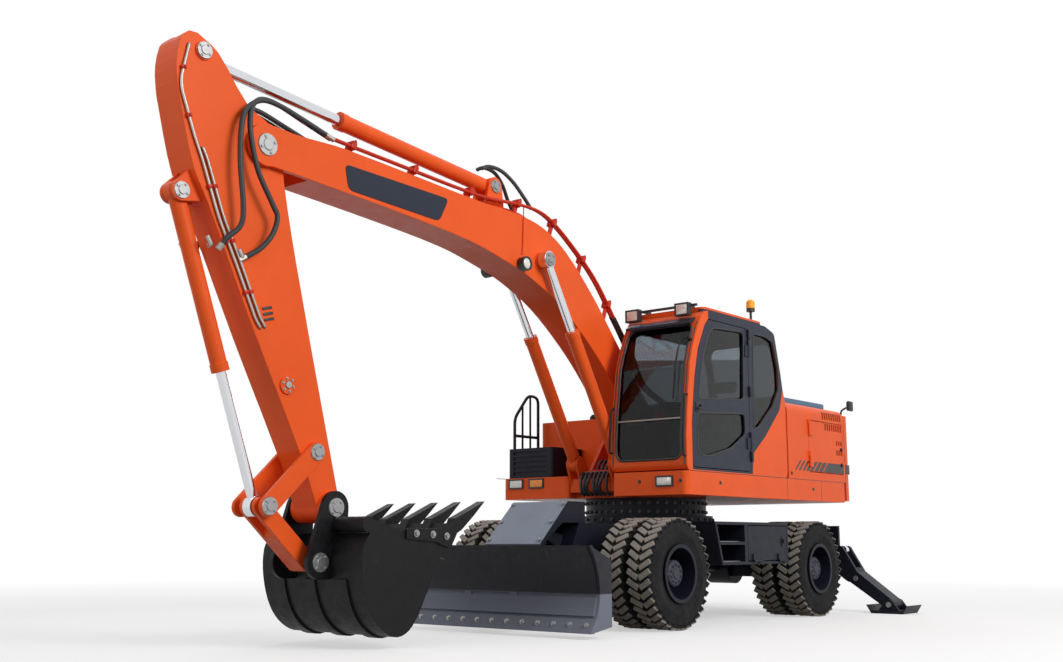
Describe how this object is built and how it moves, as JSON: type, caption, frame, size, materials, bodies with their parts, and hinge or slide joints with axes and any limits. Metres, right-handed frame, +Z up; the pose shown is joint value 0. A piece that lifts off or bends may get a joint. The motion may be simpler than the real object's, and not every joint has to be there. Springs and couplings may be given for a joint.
{
  "type": "wheeled excavator",
  "caption": "Wheeled excavator with dozer blade, stabilisers, slewing upper structure with cab, and a boom, arm and bucket on hydraulic cylinders.",
  "frame": {"origin": "on the ground under the middle of the machine's box, at rest as parked in the picture", "axes": "+X forward along the boom, +Y to the left, +Z up"},
  "size_m": [9.2051, 3.6482, 4.6069],
  "materials": {
    "orange_paint": "gloss",
    "dark_paint": "satin",
    "slate_paint": "satin",
    "cover_paint": "satin",
    "blade_paint": "satin",
    "black_paint": "satin",
    "rod_chrome": "polished",
    "tyre_rubber": "matt",
    "cab_pane": "tinted",
    "seat_fabric": "woven",
    "console_plastic": "grained",
    "lamp_plastic": "clear"
  },
  "bodies": {
    "chassis": {"chassis_frame": "dark_paint", "slew_ring": "dark_paint", "front_axle": "dark_paint", "rear_axle": "dark_paint", "driveline": "dark_paint", "front_cover": "cover_paint", "stabiliser_box": "dark_paint", "step_box_left": "dark_paint", "step_box_right": "dark_paint", "toolbox": "dark_paint"},
    "toolbox_lid": {"toolbox_lid": "dark_paint"},
    "knuckle_left": {"knuckle_left": "dark_paint"},
    "knuckle_right": {"knuckle_right": "dark_paint"},
    "wheels_front_left": {"wheel_front_left": "dark_paint", "tyres_front_left": "tyre_rubber"},
    "wheels_front_right": {"wheel_front_right": "dark_paint", "tyres_front_right": "tyre_rubber"},
    "wheels_rear_left": {"wheel_rear_left": "dark_paint", "tyres_rear_left": "tyre_rubber"},
    "wheels_rear_right": {"wheel_rear_right": "dark_paint", "tyres_rear_right": "tyre_rubber"},
    "blade": {"blade": "blade_paint"},
    "blade_barrels": {"blade_barrels": "dark_paint"},
    "blade_rods": {"blade_rods": "rod_chrome"},
    "stabiliser_left": {"stabiliser_left": "dark_paint"},
    "stabiliser_right": {"stabiliser_right": "dark_paint"},
    "stabiliser_barrel_left": {"stabiliser_barrel_left": "dark_paint"},
    "stabiliser_barrel_right": {"stabiliser_barrel_right": "dark_paint"},
    "stabiliser_rod_left": {"stabiliser_rod_left": "rod_chrome"},
    "stabiliser_rod_right": {"stabiliser_rod_right": "rod_chrome"},
    "house": {"house_frame": "orange_paint", "counterweight": "orange_paint", "engine_block": "slate_paint", "body_shell": "orange_paint", "tanks": "orange_paint", "front_box": "dark_paint", "handrails": "black_paint", "cab_frame": "orange_paint", "cab_roof": "orange_paint", "cab_glass": "cab_pane", "seat": "seat_fabric", "console": "console_plastic", "lamps": "lamp_plastic"},
    "engine_hood": {"engine_hood": "slate_paint"},
    "side_door_left": {"side_door_left": "orange_paint"},
    "side_door_right": {"side_door_right": "orange_paint"},
    "cab_door": {"cab_door": "slate_paint", "door_glass": "cab_pane"},
    "boom": {"boom": "orange_paint"},
    "boom_barrels": {"boom_barrels": "orange_paint"},
    "boom_rods": {"boom_rods": "rod_chrome"},
    "arm": {"arm": "orange_paint"},
    "arm_barrel": {"arm_barrel": "orange_paint"},
    "arm_rod": {"arm_rod": "rod_chrome"},
    "bucket_barrel": {"bucket_barrel": "orange_paint"},
    "bucket_rod": {"bucket_rod": "rod_chrome"},
    "guide_links": {"guide_links": "orange_paint"},
    "push_link": {"push_link": "orange_paint"},
    "bucket": {"bucket": "black_paint"}
  },
  "joints": [
    {"name": "steer_left", "type": "hinge", "parent": "chassis", "child": "knuckle_left", "pos_m": [-0.37, 0.56, 0.525], "axis": [0, 0, 1], "range_deg": [-28, 28]},
    {"name": "steer_right", "type": "hinge", "parent": "chassis", "child": "knuckle_right", "pos_m": [-0.37, -0.56, 0.525], "axis": [0, 0, 1], "range_deg": [-28.5, 28.5]},
    {"name": "spin_front_left", "type": "hinge", "parent": "knuckle_left", "child": "wheels_front_left", "pos_m": [-0.37, 0.95, 0.525], "axis": [0, 1, 0], "continuous": true},
    {"name": "spin_front_right", "type": "hinge", "parent": "knuckle_right", "child": "wheels_front_right", "pos_m": [-0.37, -0.95, 0.525], "axis": [0, 1, 0], "continuous": true},
    {"name": "spin_rear_left", "type": "hinge", "parent": "chassis", "child": "wheels_rear_left", "pos_m": [-3.22, 0.95, 0.525], "axis": [0, 1, 0], "continuous": true},
    {"name": "spin_rear_right", "type": "hinge", "parent": "chassis", "child": "wheels_rear_right", "pos_m": [-3.22, -0.95, 0.525], "axis": [0, 1, 0], "continuous": true},
    {"name": "blade_lift", "type": "hinge", "parent": "chassis", "child": "blade", "pos_m": [0.28, 0, 0.56], "axis": [0, -1, 0], "range_deg": [-8, 22]},
    {"name": "blade_barrel_turn", "type": "hinge", "parent": "chassis", "child": "blade_barrels", "pos_m": [0.26, 0, 0.87], "axis": [0, -1, 0], "range_deg": [-6, 15.61]},
    {"name": "blade_rod_slide", "type": "slide", "parent": "blade_barrels", "child": "blade_rods", "axis": [0.7433, 0, -0.669], "range_m": [-0.0918, 0.0347]},
    {"name": "leg_left", "type": "hinge", "parent": "chassis", "child": "stabiliser_left", "pos_m": [-4.39, 0.76, 0.68], "axis": [1, 0, 0], "range_deg": [0, 100]},
    {"name": "leg_barrel_turn_left", "type": "hinge", "parent": "chassis", "child": "stabiliser_barrel_left", "pos_m": [-4.39, 0.2, 0.9], "axis": [1, 0, 0], "range_deg": [-0.5, 15.35]},
    {"name": "leg_rod_slide_left", "type": "slide", "parent": "stabiliser_barrel_left", "child": "stabiliser_rod_left", "axis": [0, 0.9737, -0.2279], "range_m": [-0.2926, 0.002]},
    {"name": "leg_right", "type": "hinge", "parent": "chassis", "child": "stabiliser_right", "pos_m": [-4.39, -0.76, 0.68], "axis": [-1, 0, 0], "range_deg": [0, 100]},
    {"name": "leg_barrel_turn_right", "type": "hinge", "parent": "chassis", "child": "stabiliser_barrel_right", "pos_m": [-4.39, -0.2, 0.9], "axis": [-1, 0, 0], "range_deg": [-0.5, 15.35]},
    {"name": "leg_rod_slide_right", "type": "slide", "parent": "stabiliser_barrel_right", "child": "stabiliser_rod_right", "axis": [0, -0.9737, -0.2279], "range_m": [-0.2926, 0.002]},
    {"name": "slew", "type": "hinge", "parent": "chassis", "child": "house", "pos_m": [-1.62, 0, 1.27], "axis": [0, 0, 1], "continuous": true},
    {"name": "cab_door_swing", "type": "hinge", "parent": "house", "child": "cab_door", "pos_m": [-1.7382, 1.2613, 2.3], "axis": [0, 0, 1], "range_deg": [0, 165]},
    {"name": "side_door_left_swing", "type": "hinge", "parent": "house", "child": "side_door_left", "pos_m": [-3.054, 1.2613, 1.885], "axis": [0, 0, -1], "range_deg": [0, 90]},
    {"name": "side_door_right_swing", "type": "hinge", "parent": "house", "child": "side_door_right", "pos_m": [-3.054, -1.2613, 1.885], "axis": [0, 0, 1], "range_deg": [0, 90]},
    {"name": "hood_lift", "type": "hinge", "parent": "house", "child": "engine_hood", "pos_m": [-2.644, 0, 2.3643], "axis": [0, 1, 0], "range_deg": [0, 70]},
    {"name": "toolbox_lid_swing", "type": "hinge", "parent": "chassis", "child": "toolbox_lid", "pos_m": [-2.12, 1.2143, 0.624], "axis": [-1, 0, 0], "range_deg": [0, 95]},
    {"name": "boom_lift", "type": "hinge", "parent": "house", "child": "boom", "pos_m": [-1.47, 0, 1.95], "axis": [0, -1, 0], "range_deg": [-50, 42]},
    {"name": "boom_barrel_turn", "type": "hinge", "parent": "house", "child": "boom_barrels", "pos_m": [-0.73, 0, 1.62], "axis": [0, -1, 0], "range_deg": [-55.58, 46.76]},
    {"name": "boom_rod_slide", "type": "slide", "parent": "boom_barrels", "child": "boom_rods", "axis": [0.5129, 0, 0.8585], "range_m": [-0.608, 0.5115]},
    {"name": "arm_swing", "type": "hinge", "parent": "boom", "child": "arm", "pos_m": [3.78556, 0, 3.88367], "axis": [0, 1, 0], "range_deg": [-95, 14]},
    {"name": "arm_barrel_turn", "type": "hinge", "parent": "boom", "child": "arm_barrel", "pos_m": [0.9888, 0, 4.20321], "axis": [0, -1, 0], "range_deg": [-0.71, 1.93]},
    {"name": "arm_rod_slide", "type": "slide", "parent": "arm_barrel", "child": "arm_rod", "axis": [0.9966, 0, 0.0819], "range_m": [-1.2237, 0.1846]},
    {"name": "bucket_curl", "type": "hinge", "parent": "arm", "child": "bucket", "pos_m": [3.01545, 0, 1.08779], "axis": [0, 1, 0], "range_deg": [-105, 45]},
    {"name": "guide_turn", "type": "hinge", "parent": "arm", "child": "guide_links", "pos_m": [3.18186, 0, 1.51722], "axis": [0, 1, 0], "range_deg": [-76.21, 32.95]},
    {"name": "push_turn", "type": "hinge", "parent": "bucket", "child": "push_link", "pos_m": [3.16017, 0, 0.66301], "axis": [0, 1, 0], "range_deg": [-36.05, 83.45]},
    {"name": "bucket_barrel_turn", "type": "hinge", "parent": "arm", "child": "bucket_barrel", "pos_m": [4.46595, 0, 3.38343], "axis": [0, 1, 0], "range_deg": [-1.96, 3.91]},
    {"name": "bucket_rod_slide", "type": "slide", "parent": "bucket_barrel", "child": "bucket_rod", "axis": [-0.3414, 0, -0.9399], "range_m": [-0.7252, 0.3137]}
  ],
  "couplings": [
    {"joint": "steer_right", "follows": "steer_left", "ratio": 1},
    {"joint": "blade_barrel_turn", "follows": "blade_lift", "ratio": 0.687},
    {"joint": "blade_rod_slide", "follows": "blade_lift", "m_per_rad": -0.234},
    {"joint": "leg_barrel_turn_left", "follows": "leg_left", "ratio": 0.1485},
    {"joint": "leg_rod_slide_left", "follows": "leg_left", "m_per_rad": -0.1665},
    {"joint": "leg_barrel_turn_right", "follows": "leg_right", "ratio": 0.1485},
    {"joint": "leg_rod_slide_right", "follows": "leg_right", "m_per_rad": -0.1665},
    {"joint": "boom_barrel_turn", "follows": "boom_lift", "ratio": 1.1015},
    {"joint": "boom_rod_slide", "follows": "boom_lift", "m_per_rad": 0.691},
    {"joint": "arm_barrel_turn", "follows": "arm_swing", "ratio": -0.015},
    {"joint": "arm_rod_slide", "follows": "arm_swing", "m_per_rad": 0.735},
    {"joint": "guide_turn", "follows": "bucket_curl", "ratio": 0.721},
    {"joint": "push_turn", "follows": "bucket_curl", "ratio": -0.79},
    {"joint": "bucket_barrel_turn", "follows": "bucket_curl", "ratio": -0.0325},
    {"joint": "bucket_rod_slide", "follows": "bucket_curl", "m_per_rad": 0.393}
  ]
}
